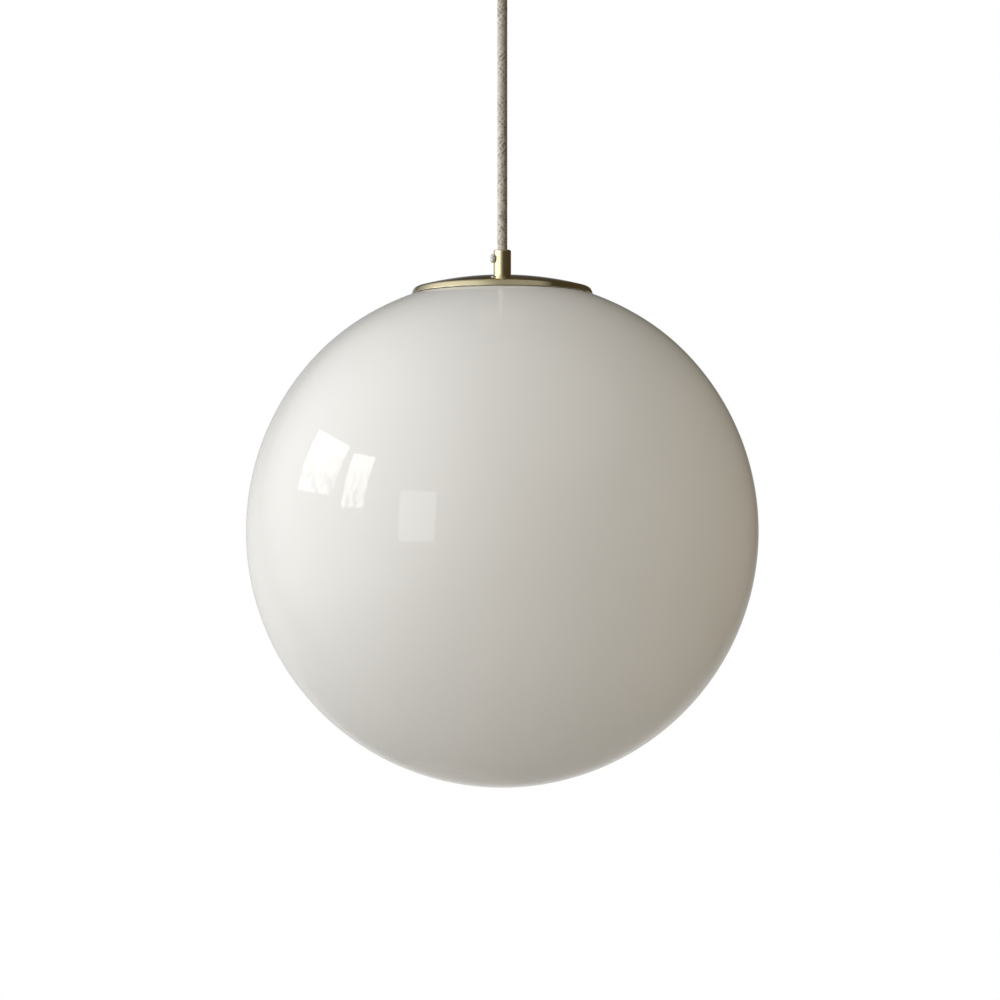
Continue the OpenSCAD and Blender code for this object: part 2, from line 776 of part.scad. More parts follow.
ceiling_bracket();
earth_screw();
terminal_block();
terminal_screws();
block_screw();
canopy();
canopy_screw_left();
canopy_screw_right();
canopy_washer();
canopy_nut();
canopy_nipple();
canopy_grip();
canopy_grip_screw();
cord_tail();
feed_wire_live();
feed_wire_neutral();
feed_wire_earth();
cord_upper();
cord_lower();
cord_grip();
cord_grip_screw();
cord_end();
threaded_tube();
cap();
cap_washer();
cap_nut();
glass_gasket();
holder_hub();
hub_nut();
arm_pins();
arm_springs();
arm_1();
arm_2();
arm_3();
arm_sleeve_1();
arm_sleeve_2();
arm_sleeve_3();
lampholder_cap();
lampholder_barrel();
lampholder_insulator();
lampholder_terminals();
socket_shell();
centre_contact();
lamp_wire_live();
lamp_wire_neutral();
lamp_wire_earth();
bulb_tip();
bulb_bead();
bulb_base();
bulb_collar();
bulb_led_board();
bulb_driver_board();
bulb_diffuser();
globe();
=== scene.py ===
"""Looks for the pendant light: the glass globe, the spun brass cap and canopy, the turned cord grips,
the braided textile cord, the wiring and every inner piece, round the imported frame. Metres, +Z up."""
import json

import bpy
import numpy as np
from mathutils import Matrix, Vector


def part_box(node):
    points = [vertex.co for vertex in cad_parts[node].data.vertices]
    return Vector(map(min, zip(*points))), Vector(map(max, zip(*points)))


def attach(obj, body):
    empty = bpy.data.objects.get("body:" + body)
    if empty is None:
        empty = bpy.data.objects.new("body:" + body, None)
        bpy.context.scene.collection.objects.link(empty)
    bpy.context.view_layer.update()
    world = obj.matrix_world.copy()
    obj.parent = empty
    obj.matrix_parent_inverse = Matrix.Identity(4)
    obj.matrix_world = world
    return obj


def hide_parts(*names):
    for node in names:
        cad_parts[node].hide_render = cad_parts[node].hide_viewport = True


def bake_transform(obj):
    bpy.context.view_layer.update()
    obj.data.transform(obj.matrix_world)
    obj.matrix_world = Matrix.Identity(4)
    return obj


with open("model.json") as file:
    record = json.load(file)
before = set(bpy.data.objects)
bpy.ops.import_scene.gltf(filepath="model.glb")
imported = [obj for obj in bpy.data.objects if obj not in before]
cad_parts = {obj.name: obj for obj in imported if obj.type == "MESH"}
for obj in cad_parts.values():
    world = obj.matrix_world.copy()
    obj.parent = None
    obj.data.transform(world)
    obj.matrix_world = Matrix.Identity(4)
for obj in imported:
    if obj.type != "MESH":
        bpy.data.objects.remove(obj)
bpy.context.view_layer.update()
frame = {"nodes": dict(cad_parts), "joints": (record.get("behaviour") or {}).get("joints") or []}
TAU = 2 * np.pi

# ---------- sizes, from the frame and from the maker's sheet thicknesses ----------

GLASS_WALL = 0.0035
CROWN_START = 0.110  # radius where the globe's flatter crown begins
CROWN_EXTRA = 0.008  # how much larger the crown's radius is than the globe's
SHEET = 0.0012  # of the cap and of the canopy
SKIRT_H = 0.004
SKIRT_LEAN = 0.002
SHOULDER_R = 0.0034  # outside radius of the cap's shoulder
RIM_CUT = 0.0004  # how much lower the rim is cut outside than inside
RIM_OVERLAP = 0.007  # from the neck's opening to the cap's rim
CANOPY_EDGE_R = 0.005
TUBE_R = 0.005
SOCKET_DEPTH = 0.008  # of the threaded socket in a grip
SCREW_R = 0.002
SLOT_W = 0.0008
CORD_R = 0.0035
WIRE_R = 0.0011


def low_high(node):
    """The lowest and highest corner of a node's box, as arrays."""
    low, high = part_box(node)
    return np.array(low), np.array(high)


GLOBE_LOW, GLOBE_HIGH = low_high("globe")
GLOBE_R = (GLOBE_HIGH[0] - GLOBE_LOW[0]) / 2
GLOBE_Z = GLOBE_LOW[2] + GLOBE_R
CAP_LOW, CAP_HIGH = low_high("cap")
CAP_R = (CAP_HIGH[0] - CAP_LOW[0]) / 2
GRIP_LOW, GRIP_HIGH = low_high("cord_grip")
GRIP_R = (GRIP_HIGH[0] - GRIP_LOW[0]) / 2
TOP_GRIP_LOW, TOP_GRIP_HIGH = low_high("canopy_grip")
CANOPY_LOW, CANOPY_HIGH = low_high("canopy")
CANOPY_R = (CANOPY_HIGH[0] - CANOPY_LOW[0]) / 2
NECK_R = CAP_R - RIM_OVERLAP

# The free cord's route, down from the mouth of the canopy's grip
CORD_ROUTE = np.array([
    [0, 0, 0], [0, 0, -0.012], [0, 0, -0.024], [0, 0, -0.036], [0, 0, -0.048], [0, 0, -0.060],
    [0, 0, -0.072], [0, 0, -0.084], [0, 0, -0.096], [0, 0, -0.108], [0, 0, -0.120], [0, 0, -0.132],
    [0, 0, -0.144], [0, 0, -0.156], [0, 0, -0.168], [0, 0, -0.180],
])
CORD_TOP = TOP_GRIP_LOW[2]
JOINTS = {joint["name"]: joint for joint in frame["joints"]}


# ---------- meshes ----------

def signed_volume(points, triangles):
    """A sixth of the sum of every triangle's corner triple product: positive when faces point out."""
    a, b, c = (points[triangles[:, k]] for k in range(3))
    return np.einsum("ij,ij->i", a, np.cross(b, c)).sum() / 6


def new_mesh(name, points, faces, crease=32):
    """A mesh object from points and quads, a quad whose last corner is -1 being a triangle. Faces are
    turned over together when the volume they close comes out negative."""
    faces = np.asarray(faces)
    flat = faces[:, 3] < 0
    quads, singles = faces[~flat], faces[flat][:, :3]
    triangles = np.concatenate([quads[:, [0, 1, 2]], quads[:, [0, 2, 3]], singles])
    if signed_volume(points, triangles) < 0:
        quads, singles = quads[:, ::-1], singles[:, ::-1]
    mesh = bpy.data.meshes.new(name)
    mesh.from_pydata(points.tolist(), [], quads.tolist() + singles.tolist())
    mesh.shade_smooth()
    mesh.set_sharp_from_angle(angle=np.radians(crease))
    piece = bpy.data.objects.new(name, mesh)
    bpy.context.collection.objects.link(piece)
    return piece


def join_rings(rows, columns, closed):
    """Quads between neighbouring rings of a grid whose columns wrap, and between its last and first
    ring when it is closed."""
    last = rows if closed else rows - 1
    i, k = np.meshgrid(np.arange(last), np.arange(columns), indexing="ij")
    j, n = (i + 1) % rows, (k + 1) % columns
    quads = np.stack([i * columns + k, i * columns + n, j * columns + n, j * columns + k], -1)
    return quads.reshape(-1, 4)


def fan(ring_start, columns, pole):
    """Triangles from one ring to a single point."""
    k = np.arange(columns)
    n = (k + 1) % columns
    return np.stack([ring_start + k, ring_start + n, np.full(columns, pole), np.full(columns, -1)], -1)


def capped_rings(rows, columns):
    """Faces of a stack of rings that is closed by a pole at each end. The poles' points come last, the
    first ring's before the last ring's."""
    count = rows * columns
    return np.concatenate([
        join_rings(rows, columns, False),
        fan(0, columns, count)[:, [1, 0, 2, 3]],
        fan(count - columns, columns, count + 1),
    ])


def turned_grid(profile, columns, swell=None):
    """Points of a profile of (radius, height) pairs carried round the Z axis. swell(angle) scales the
    radius where a surface is knurled."""
    angle = np.arange(columns) * TAU / columns
    radius = np.repeat(profile[:, :1], columns, axis=1)
    if swell is not None:
        radius = radius * swell(angle)
    tall = np.repeat(profile[:, 1:], columns, axis=1)
    return np.stack([radius * np.cos(angle), radius * np.sin(angle), tall], -1).reshape(-1, 3)


def turned(name, profile, columns, crease=32):
    """A solid of revolution. A profile that starts and ends on the axis closes at two poles, and any
    other is a loop, closed from its last point to its first."""
    looped = profile[0, 0] > 1e-7 or profile[-1, 0] > 1e-7
    if looped:
        return new_mesh(name, turned_grid(profile, columns), join_rings(len(profile), columns, True), crease)
    poles = [[0, 0, profile[0, 1]], [0, 0, profile[-1, 1]]]
    points = np.concatenate([turned_grid(profile[1:-1], columns), poles])
    return new_mesh(name, points, capped_rings(len(profile) - 2, columns), crease)


def arc(centre, radius, start, stop, steps):
    """Points of a circular arc, angles in degrees from +X towards +Z."""
    angle = np.radians(np.linspace(start, stop, steps))
    return np.stack([centre[0] + radius * np.cos(angle), centre[1] + radius * np.sin(angle)], -1)


def rounded(corners, radii, steps=7):
    """A closed outline with each corner replaced by a circular arc of its radius. The arc's centre lies
    on the corner's bisector at radius / sin(half the corner's angle), and a point just before and after
    each arc keeps the shading of the flats even."""
    corners = np.asarray(corners, float)
    outline = []
    for i, (corner, radius) in enumerate(zip(corners, radii)):
        if radius <= 0:
            outline.append(corner[None])
            continue
        back = corners[i - 1] - corner
        on = corners[(i + 1) % len(corners)] - corner
        back_l, on_l = np.linalg.norm(back), np.linalg.norm(on)
        back, on = back / back_l, on / on_l
        half = np.arccos(np.clip(back @ on, -1, 1)) / 2
        reach = radius / np.tan(half)
        middle = corner + (back + on) / np.linalg.norm(back + on) * radius / np.sin(half)
        first, last = corner + back * reach - middle, corner + on * reach - middle
        start = np.arctan2(first[1], first[0])
        sweep = np.arctan2(first[0] * last[1] - first[1] * last[0], first @ last)
        angle = start + sweep * np.linspace(0, 1, steps)
        bend = middle + radius * np.stack([np.cos(angle), np.sin(angle)], -1)
        before = corner + back * min(reach * 1.4, (reach + back_l) / 2)
        after = corner + on * min(reach * 1.4, (reach + on_l) / 2)
        outline.append(np.concatenate([before[None], bend, after[None]]))
    return np.concatenate(outline)


# ---------- procedural materials ----------

def add(tree, kind, inputs=(), **settings):
    """A shader node with its settings. Each input is set to a value, or linked when given a socket."""
    made = tree.nodes.new("ShaderNode" + kind)
    for key, value in settings.items():
        setattr(made, key, value)
    for key, value in dict(inputs).items():
        if isinstance(value, bpy.types.NodeSocket):
            tree.links.new(value, made.inputs[key])
        else:
            made.inputs[key].default_value = value
    return made


def finish(name):
    """A new material's tree, its Principled shader and its Object coordinates."""
    material = bpy.data.materials.new(name)
    material.use_nodes = True
    tree = material.node_tree
    shader = tree.nodes["Principled BSDF"]
    place = add(tree, "TexCoord").outputs["Object"]
    return material, tree, shader, place


def noise(tree, place, scale, detail=3.0, roughness=0.5):
    """A cloudy pattern, scale to the metre, with finer detail as strong as its roughness."""
    settings = {"Vector": place, "Scale": scale, "Detail": detail, "Roughness": roughness}
    return add(tree, "TexNoise", settings).outputs["Fac"]


def remap(tree, value, old, new=(0.0, 1.0), **settings):
    """A value carried from its old range to a new one, and held at the ends."""
    ranges = {"Value": value, "From Min": old[0], "From Max": old[1], "To Min": new[0], "To Max": new[1]}
    return add(tree, "MapRange", ranges, **settings).outputs["Result"]


def spread(tree, value, low, high):
    """A cloudy pattern brought to the range low to high."""
    return remap(tree, value, (0.3, 0.7), (low, high))


def calculate(tree, operation, first, second=0.0, **settings):
    """One step of arithmetic on values."""
    return add(tree, "Math", {0: first, 1: second}, operation=operation, **settings).outputs["Value"]


def two_tones(tree, value, dark, light):
    """A colour between dark and light that follows a 0 to 1 pattern."""
    mixed = add(tree, "Mix", {"Factor": value}, data_type="RGBA")
    mixed.inputs[6].default_value = (*dark, 1)
    mixed.inputs[7].default_value = (*light, 1)
    return mixed.outputs[2]


def blended(tree, way, first, second):
    """Two colours put together, added or the lighter of each channel."""
    return add(tree, "Mix", {"Factor": 1.0, 6: first, 7: second}, data_type="RGBA", blend_type=way).outputs[2]


def tint(tree, shader, value, dark, light):
    """Gives the surface a colour between dark and light."""
    tree.links.new(two_tones(tree, value, dark, light), shader.inputs["Base Color"])


def dull(tree, shader, value):
    """Gives the surface its roughness."""
    tree.links.new(value, shader.inputs["Roughness"])


def relief(tree, shader, height, distance, strength=1.0):
    """Small-scale relief of the surface, distance in metres for a full step of height."""
    bump = add(tree, "Bump", {"Height": height, "Distance": distance, "Strength": strength})
    tree.links.new(bump.outputs["Normal"], shader.inputs["Normal"])


def spun_coordinates(tree, place):
    """(distance from the Z axis, 0, height), so that a pattern on it runs in rings round the axis."""
    parts = add(tree, "SeparateXYZ", {"Vector": place})
    flat = add(tree, "CombineXYZ", {"X": parts.outputs["X"], "Y": parts.outputs["Y"]})
    radius = add(tree, "VectorMath", {"Vector": flat.outputs["Vector"]}, operation="LENGTH")
    rings = add(tree, "CombineXYZ", {"X": radius.outputs["Value"], "Z": parts.outputs["Z"]})
    return rings.outputs["Vector"]


def spun_metal(name, dark, light, rough, lines, line_depth=2.5e-6):
    """Bright metal turned or spun round the Z axis: faint rings from the tool, clouded lacquer in the
    colour, and a roughness that wanders as it does where a hand has polished it."""
    material, tree, shader, place = finish(name)
    shader.inputs["Metallic"].default_value = 1.0
    cloud = noise(tree, place, 38.0, 4.0)
    tint(tree, shader, spread(tree, cloud, 0.0, 1.0), dark, light)
    rings = noise(tree, spun_coordinates(tree, place), lines, 2.0)
    scuffs = noise(tree, place, 420.0, 6.0, 0.7)
    mottled = calculate(tree, "MULTIPLY", rings, scuffs)
    dull(tree, shader, remap(tree, mottled, (0.1, 0.5), rough))
    relief(tree, shader, rings, line_depth)
    return material


def plated_steel(name, dark, light, rough=(0.28, 0.5)):
    """Zinc plate on steel sheet: a fine spangle in colour and gloss over rolled grain."""
    material, tree, shader, place = finish(name)
    shader.inputs["Metallic"].default_value = 1.0
    spangle = add(tree, "TexVoronoi", {"Vector": place, "Scale": 900.0}).outputs["Distance"]
    cloud = noise(tree, place, 160.0, 5.0)
    tone = remap(tree, calculate(tree, "MULTIPLY", spangle, cloud), (0.0, 0.4))
    tint(tree, shader, tone, dark, light)
    dull(tree, shader, spread(tree, cloud, *rough))
    relief(tree, shader, noise(tree, place, 1500.0, 2.0), 4e-6)
    return material


def moulded(name, dark, light, rough=(0.3, 0.45), grain=1200.0, depth=6e-6):
    """A moulded skin: a slow drift of tone, fine grain in the relief and an uneven gloss."""
    material, tree, shader, place = finish(name)
    cloud = noise(tree, place, 90.0, 3.0)
    tint(tree, shader, spread(tree, cloud, 0.0, 1.0), dark, light)
    dull(tree, shader, spread(tree, noise(tree, place, 300.0, 4.0), *rough))
    relief(tree, shader, noise(tree, place, grain, 3.0), depth)
    return material


def opal_glass():
    """Blown opal glass: a milky white body with the faintest drift of tone under a fire-polished skin
    that waves very slightly, so that reflections bend but stay sharp."""
    material, tree, shader, place = finish("opal_glass")
    drift = noise(tree, place, 7.0, 2.0)
    tint(tree, shader, spread(tree, drift, 0.0, 1.0), (0.82, 0.815, 0.80), (0.845, 0.84, 0.825))
    dull(tree, shader, spread(tree, noise(tree, place, 25.0, 3.0), 0.025, 0.055))
    shader.inputs["IOR"].default_value = 1.52
    shader.inputs["Subsurface Weight"].default_value = 0.12
    shader.inputs["Subsurface Radius"].default_value = (0.012, 0.011, 0.009)
    shader.inputs["Subsurface Scale"].default_value = 1.0
    relief(tree, shader, noise(tree, place, 9.0, 1.0), 2.5e-4)
    return material


def clear_nylon():
    """Natural nylon, see-through but slightly clouded, with a faint grain from the mould."""
    material, tree, shader, place = finish("clear_nylon")
    cloud = noise(tree, place, 500.0, 3.0)
    tint(tree, shader, spread(tree, cloud, 0.0, 1.0), (0.90, 0.90, 0.87), (0.97, 0.97, 0.96))
    dull(tree, shader, spread(tree, noise(tree, place, 900.0, 2.0), 0.12, 0.28))
    shader.inputs["Transmission Weight"].default_value = 0.2
    shader.inputs["IOR"].default_value = 1.53
    relief(tree, shader, cloud, 8e-6)
    return material


def linen_braid():
    """Braided linen yarn. The piece's own attribute yarn holds how light each stretch of yarn is, with
    painted shade where the braid dips, and its map braid runs round and along the cord, for the fibres
    that each yarn is spun from."""
    material, tree, shader, place = finish("linen_braid")
    # The yarn attribute is each yarn's own tone with painted shade in the braid's hollows.
    yarn = add(tree, "Attribute", attribute_name="yarn").outputs["Fac"]
    fleck = noise(tree, place, 1900.0, 3.0, 0.65)
    flecked = remap(tree, fleck, (0.35, 0.65), (-0.12, 0.12))
    tone = calculate(tree, "ADD", yarn, flecked, use_clamp=True)
    ramp = add(tree, "ValToRGB", {"Fac": tone})
    ramp.color_ramp.elements[0].color = (0.14, 0.12, 0.098, 1)
    ramp.color_ramp.elements[1].color = (0.90, 0.85, 0.76, 1)
    middle = ramp.color_ramp.elements.new(0.5)
    middle.color = (0.51, 0.46, 0.39, 1)
    tree.links.new(ramp.outputs["Color"], shader.inputs["Base Color"])
    dull(tree, shader, spread(tree, fleck, 0.78, 0.95))
    shader.inputs["Sheen Weight"].default_value = 0.25
    shader.inputs["Sheen Roughness"].default_value = 0.4
    mapped = add(tree, "UVMap", uv_map="braid").outputs["UV"]
    waves = {"Vector": mapped, "Scale": 90.0, "Distortion": 3.0, "Detail": 2.0, "Detail Scale": 3.0}
    fibres = add(tree, "TexWave", waves, bands_direction="X").outputs["Fac"]
    relief(tree, shader, fibres, 5e-5, 0.6)
    return material


def striped_pvc(name, first, second, stripes):
    """Wire insulation, glossy and slightly marked, with stripes along the wire where it has two
    colours. The piece's own map wire gives the place round the wire."""
    material, tree, shader, place = finish(name)
    mapped = add(tree, "UVMap", uv_map="wire").outputs["UV"]
    around = add(tree, "SeparateXYZ", {"Vector": mapped}).outputs["X"]
    turns = calculate(tree, "MULTIPLY", around, float(stripes))
    side = calculate(tree, "GREATER_THAN", calculate(tree, "FRACT", turns), 0.5)
    marks = noise(tree, place, 700.0, 3.0)
    colour = two_tones(tree, side, first, second)
    worn = {"Factor": spread(tree, marks, 0.0, 0.18), 6: colour, 7: (0.35, 0.33, 0.30, 1)}
    tree.links.new(add(tree, "Mix", worn, data_type="RGBA").outputs[2], shader.inputs["Base Color"])
    dull(tree, shader, spread(tree, marks, 0.25, 0.42))
    relief(tree, shader, marks, 6e-6)
    return material


BRASS_DARK, BRASS_LIGHT = (0.73, 0.65, 0.42), (0.80, 0.72, 0.49)
POLISHED_BRASS = spun_metal("polished_brass", BRASS_DARK, BRASS_LIGHT, (0.035, 0.09), 2600.0)
SATIN_BRASS = spun_metal("satin_brass", BRASS_DARK, BRASS_LIGHT, (0.18, 0.30), 3400.0)
RAW_BRASS = spun_metal("raw_brass", (0.60, 0.44, 0.18), (0.74, 0.56, 0.26), (0.2, 0.4), 5200.0, 6e-6)
BRIGHT_NICKEL = spun_metal("bright_nickel", (0.55, 0.53, 0.50), (0.70, 0.68, 0.65), (0.12, 0.3), 3900.0, 4e-6)
ZINC_STEEL = plated_steel("zinc_steel", (0.42, 0.43, 0.43), (0.66, 0.67, 0.66))
SPRING_STEEL = plated_steel("spring_steel", (0.30, 0.30, 0.31), (0.50, 0.50, 0.50), (0.18, 0.34))
OPAL_GLASS = opal_glass()
CLEAR_NYLON = clear_nylon()
LINEN_BRAID = linen_braid()
WHITE_NYLON = moulded("white_nylon", (0.74, 0.74, 0.71), (0.83, 0.83, 0.80), (0.38, 0.55))
WHITE_SHELL = moulded("white_shell", (0.78, 0.78, 0.77), (0.86, 0.86, 0.85), (0.2, 0.32))
FROSTED_DOME = moulded("frosted_dome", (0.82, 0.82, 0.80), (0.88, 0.88, 0.86), (0.5, 0.66), 2200.0, 3e-6)
SILICONE = moulded("silicone", (0.70, 0.70, 0.67), (0.80, 0.80, 0.77), (0.45, 0.6))
BLACK_THERMOSET = moulded("black_thermoset", (0.012, 0.012, 0.012), (0.028, 0.027, 0.026), (0.3, 0.46))
STEATITE = moulded("steatite", (0.66, 0.62, 0.54), (0.76, 0.73, 0.66), (0.6, 0.8), 1800.0, 2e-5)
BLACK_GLASS = moulded("black_glass", (0.006, 0.006, 0.008), (0.016, 0.015, 0.02), (0.06, 0.14))
CIRCUIT_BOARD = moulded("circuit_board", (0.015, 0.10, 0.035), (0.03, 0.17, 0.06), (0.3, 0.42), 700.0, 3e-5)
BROWN_PVC = striped_pvc("brown_pvc", (0.10, 0.035, 0.012), (0.13, 0.045, 0.016), 1)
BLUE_PVC = striped_pvc("blue_pvc", (0.012, 0.09, 0.42), (0.018, 0.11, 0.47), 1)
GREEN_YELLOW_PVC = striped_pvc("green_yellow_pvc", (0.03, 0.24, 0.04), (0.72, 0.60, 0.03), 2)


def settle(piece, material, body, slot, *nodes):
    """Gives a new piece its material, its body where it rides on one, and the CAD nodes it stands for,
    which are hidden. Its slot is not used."""
    piece.data.materials.append(material)
    if body:
        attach(piece, body)
    if nodes:
        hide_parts(*nodes)
    return piece


# ---------- glass globe ----------

def globe_profile():
    """Section of the globe. The outside is a circle from the bottom pole to the crown, then a larger
    circle that is a little flatter, each height the lower of the two with the crease between them
    smoothed; the inside follows at the wall's thickness, and a half circle closes the neck."""
    crown_r = GLOBE_R + CROWN_EXTRA
    crown_z = np.sqrt(GLOBE_R**2 - CROWN_START**2) - np.sqrt(crown_r**2 - CROWN_START**2)

    def radius_at(polar, inset):
        """Distance from the globe's centre to the lower of the two circles, along an angle from +Z."""
        ball = GLOBE_R - inset
        reach = crown_r - inset
        crown = crown_z * np.cos(polar) + np.sqrt(reach**2 - (crown_z * np.sin(polar)) ** 2)
        blend = 0.00035
        return -blend * np.logaddexp(-ball / blend, -crown / blend)

    def wall(inset, steps):
        """Points from the bottom pole to the neck, at equal steps of the angle."""
        neck = np.arctan2(NECK_R + 0.0012, GLOBE_R * 0.95)
        polar = np.linspace(np.pi, neck, steps)
        radius = radius_at(polar, inset)
        return np.stack([radius * np.sin(polar), GLOBE_Z + radius * np.cos(polar)], -1)

    outside, inside = wall(0, 150), wall(GLASS_WALL, 60)
    middle = (outside[-1] + inside[-1]) / 2
    lip = arc(middle, GLASS_WALL / 2, 72, 252, 9)[1:-1]
    outside[0, 0] = inside[0, 0] = 0
    return np.concatenate([outside, lip, inside[::-1]])


def make_globe():
    """The globe, which rides on the lamp with everything that hangs from the cord."""
    globe = turned("glass_globe", globe_profile(), 192, crease=60)
    return settle(globe, OPAL_GLASS, "lamp", "opal_glass", "globe")


# ---------- cap, grips and canopy ----------

def cap_profile():
    """Section of the spun cap: a low skirt that leans in, a rounded shoulder and a shallow dome whose
    height is a circle's, with the inside one sheet below. The rim is cut to the slope of the glass."""
    rim, apex = CAP_LOW[2], CAP_HIGH[2]
    shoulder_r, shoulder_z = CAP_R - SKIRT_LEAN, rim + SKIRT_H
    rise = apex - shoulder_z
    dome_r = (shoulder_r**2 + rise**2) / (2 * rise)

    def dome(radius, inset):
        """Height of the dome's circle at a radius."""
        return apex - dome_r + np.sqrt((dome_r - inset) ** 2 - radius**2)

    def shell(inset, round_r):
        """The foot, the rounded shoulder and the dome of one side of the sheet."""
        corner = np.array([shoulder_r - inset, dome(shoulder_r - inset, inset)])
        foot = np.array([CAP_R - inset, rim])
        beside = corner[0] - 0.006
        on = np.array([beside, dome(beside, inset)])
        bend = rounded([foot, corner, on], [0, round_r, 0], 9)[1:-1]
        radius = np.linspace(beside, TUBE_R + 0.0004, 40)
        return foot, bend, np.stack([radius, dome(radius, inset)], -1)

    foot_out, bend_out, dome_out = shell(0, SHOULDER_R)
    foot_in, bend_in, dome_in = shell(SHEET, SHOULDER_R - 0.0011)
    foot_out = foot_out - [0, RIM_CUT]
    edge = rounded([foot_in, foot_out, foot_out + [-0.0008, 0.002]], [0.0004, 0.0002, 0], 5)[:-1]
    return np.concatenate([edge, bend_out, dome_out, dome_in[::-1], bend_in[::-1]])


def make_cap():
    """The spun cap over the globe's neck."""
    cap = turned("brass_cap", cap_profile(), 192, crease=50)
    settle(cap, POLISHED_BRASS, "lamp", "polished_brass", "cap")


def grip_profile(base, mouth):
    """Section of a turned grip from its base to its mouth, either way up: a cylinder with a softly
    rounded mouth edge, a fine chamfer at the base, the cord's bore and the wider threaded socket."""
    up = np.sign(mouth - base)
    bore, socket = CORD_R + 0.0002, TUBE_R + 0.00005
    shelf = base + up * SOCKET_DEPTH
    corners = [(socket, base), (GRIP_R, base), (GRIP_R, mouth), (bore, mouth), (bore, shelf), (socket, shelf)]
    return rounded(corners, [0.0001, 0.00025, 0.001, 0.0004, 0.0001, 0.0001])


def half_moon(radius, gap, low, high, side):
    """A flat-sided half disc beside a slot: the part of a disc further than half the gap from its
    middle line, as a closed outline carried from low to high."""
    edge = np.arcsin(gap / 2 / radius)
    angle = np.linspace(edge, np.pi - edge, 24) + (0 if side > 0 else np.pi)
    ring = np.stack([radius * np.cos(angle), radius * np.sin(angle)], -1)
    return prism(ring, low, high)


def prism(ring, low, high):
    """Points and faces of an outline carried straight up, with a fan of triangles at each end."""
    count = len(ring)
    below = np.column_stack([ring, np.full(count, low)])
    above = np.column_stack([ring, np.full(count, high)])
    ends = [[*ring.mean(0), low], [*ring.mean(0), high]]
    return np.concatenate([below, above, ends]), capped_rings(2, count)


def stack_parts(name, parts):
    """One mesh of several closed parts."""
    offset, points, faces = 0, [], []
    for part_points, part_faces in parts:
        points.append(part_points)
        faces.append(np.where(part_faces < 0, -1, part_faces + offset))
        offset += len(part_points)
    return new_mesh(name, np.concatenate(points), np.concatenate(faces))


def screw_parts(head_r, start, seat, face, slot_d, swell=None):
    """Parts of a slotted screw along +Z: the turned shank and head up to the slot's floor, and a half
    moon on each side of the slot up to the head's face."""
    floor = face - slot_d
    edge = 0.00025
    section = np.concatenate([
        [[0, start], [SCREW_R - edge, start], [SCREW_R, start + edge]],
        [[SCREW_R, seat], [head_r - edge, seat], [head_r, seat + edge]],
        np.linspace([head_r, seat + edge], [head_r, floor], 5)[1:], [[0, floor]],
    ])
    columns = 72
    body = turned_grid(section[1:-1], columns, swell)
    points = np.concatenate([body, [[0, 0, start], [0, 0, floor]]])
    parts = [(points, capped_rings(len(section) - 2, columns))]
    for side in (1, -1):
        parts.append(half_moon(head_r - 0.00005, SLOT_W, floor, face, side))
    return parts


def aim(piece, direction, origin):
    """Turns a mesh built along +Z to a level direction and moves it to its origin."""
    along = np.array(direction, float) / np.linalg.norm(direction)
    across = np.cross([0, 0, 1.0], along)
    across /= np.linalg.norm(across)
    turn = np.stack([across, np.cross(along, across), along], 1)
    co = np.empty(len(piece.data.vertices) * 3)
    piece.data.vertices.foreach_get("co", co)
    piece.data.vertices.foreach_set("co", (co.reshape(-1, 3) @ turn.T + origin).ravel())
    piece.data.update()
    return piece


def soften(piece, width):
    """A small bevel on the sharp edges."""
    bevel = piece.modifiers.new("edge", "BEVEL")
    bevel.width, bevel.segments = width, 2
    bevel.limit_method, bevel.angle_limit = "ANGLE", np.radians(40)
    return piece


def make_clamp_screw(name, body, node):
    """The nylon screw in a grip's side, from the cord out to its slotted head."""
    joint = JOINTS[body + "_turn"]
    seat = GRIP_R + 0.0002
    parts = screw_parts(0.003, CORD_R + 0.00005, seat, seat + 0.0017, 0.0008)
    screw = aim(stack_parts(name, parts), joint["axis"], np.array([0, 0, joint["pos_m"][2]]))
    settle(soften(screw, 0.0002), CLEAR_NYLON, body, "clear_nylon", node)


def knurl(angle):
    """Scale of a thumb screw's radius: 18 shallow hollows round the edge, each a fourth power of the
    cosine's upper half."""
    return 1 - 0.055 * np.maximum(0, np.cos(18 * angle)) ** 4


def make_thumb_screw(name, body, node):
    """The knurled brass screw that holds the canopy to its bracket."""
    joint = JOINTS[body + "_turn"]
    low, high = low_high(node)
    outer = np.abs([low[0], high[0]]).max()
    inner = np.abs([low[0], high[0]]).min()
    parts = screw_parts(0.004, inner, outer - 0.0035, outer, 0.001, knurl)
    screw = aim(stack_parts(name, parts), joint["axis"], np.array([0, 0, joint["pos_m"][2]]))
    settle(soften(screw, 0.00025), POLISHED_BRASS, body, "polished_brass", node)


def canopy_profile():
    """Section of the canopy: a straight-sided cup with a rounded lower edge and a bore in its floor,
    the inside one sheet in from the outside, and a softly rounded rim against the ceiling."""
    top, floor = CANOPY_HIGH[2], CANOPY_LOW[2]
    inner = CANOPY_R - SHEET
    bore = TUBE_R + 0.0002
    corners = [(CANOPY_R, top), (CANOPY_R, floor), (bore, floor), (bore, floor + SHEET),
               (inner, floor + SHEET), (inner, top)]
    return rounded(corners, [0.0004, CANOPY_EDGE_R, 0.0002, 0.0002, CANOPY_EDGE_R - SHEET, 0.0004], 9)


